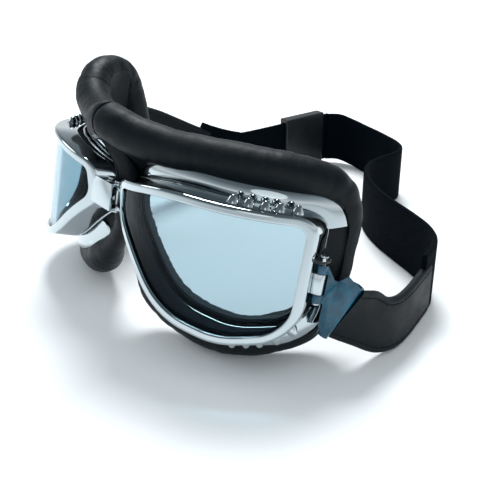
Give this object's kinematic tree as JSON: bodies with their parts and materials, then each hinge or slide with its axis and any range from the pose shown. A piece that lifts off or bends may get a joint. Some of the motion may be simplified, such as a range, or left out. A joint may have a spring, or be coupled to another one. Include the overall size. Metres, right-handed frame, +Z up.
{
  "type": "motorcycle goggles",
  "caption": "Split-lens motorcycle goggles: chromed cups with air scoops, glass lenses and rolled leather cushions, hinged at the nose, with an elastic strap and slider.",
  "frame": {"origin": "middle of the footprint, on the floor that the goggles stand on", "axes": "+X towards the wearer's left, -Y the way the lenses look, +Z up"},
  "size_m": [0.1682, 0.1888, 0.0698],
  "materials": {
    "chrome": "polished",
    "chrome_small": "polished",
    "wire": "satin",
    "lens": "clear pale blue",
    "gasket": "matt",
    "carrier": "matt",
    "lining": "felted",
    "cushion_leather": "soft, lightly glossed",
    "strap_leather": "soft, lightly glossed",
    "elastic": "woven",
    "slider": "satin",
    "film": "tinted film"
  },
  "bodies": {
    "right_cup": {"right_shell": "chrome", "right_lens": "lens", "right_lens_gasket": "gasket", "right_carrier": "carrier", "right_retaining_wire": "wire", "right_brow_flange": "chrome", "right_lower_flange": "chrome", "right_lining": "lining", "right_cushion": "cushion_leather", "right_strap_lug": "chrome_small", "right_strap_pin": "chrome_small", "right_nose_lug": "chrome_small", "bridge_plate": "chrome_small", "bridge_fixing_pin": "chrome_small", "nose_pin": "chrome_small", "rear_elastic": "elastic"},
    "left_cup": {"left_shell": "chrome", "left_lens": "lens", "left_lens_gasket": "gasket", "left_carrier": "carrier", "left_retaining_wire": "wire", "left_brow_flange": "chrome", "left_lower_flange": "chrome", "left_lining": "lining", "left_cushion": "cushion_leather", "left_strap_lug": "chrome_small", "left_strap_pin": "chrome_small", "left_nose_lug": "chrome_small", "left_elastic": "elastic"},
    "left_strap": {"left_strap_plate": "chrome_small", "left_plate_film": "film", "left_keeper_rings": "wire", "left_strap_leather": "strap_leather"},
    "right_strap": {"right_strap_plate": "chrome_small", "right_plate_film": "film", "right_keeper_rings": "wire", "right_strap_leather": "strap_leather"},
    "slider": {"strap_slider": "slider"}
  },
  "joints": [
    {"name": "nose_hinge", "type": "hinge", "parent": "right_cup", "child": "left_cup", "pos_m": [0.00483, -0.08579, 0.04592], "axis": [0, 0.1925, 0.9813], "range_deg": [-15, 4], "deforming": ["left_cushion", "left_elastic"]},
    {"name": "left_strap_hinge", "type": "hinge", "parent": "left_cup", "child": "left_strap", "pos_m": [0.07426, -0.05508, 0.03254], "axis": [0.0078, 0.1964, 0.9805], "range_deg": [-30, 25], "deforming": ["left_strap_leather"]},
    {"name": "right_strap_hinge", "type": "hinge", "parent": "right_cup", "child": "right_strap", "pos_m": [-0.069, -0.05508, 0.03254], "axis": [-0.0078, 0.1964, 0.9805], "range_deg": [-25, 30], "deforming": ["right_strap_leather"]},
    {"name": "slider_slide", "type": "slide", "parent": "right_cup", "child": "slider", "axis": [0, 1, 0], "range_m": [-0.02, 0]}
  ]
}
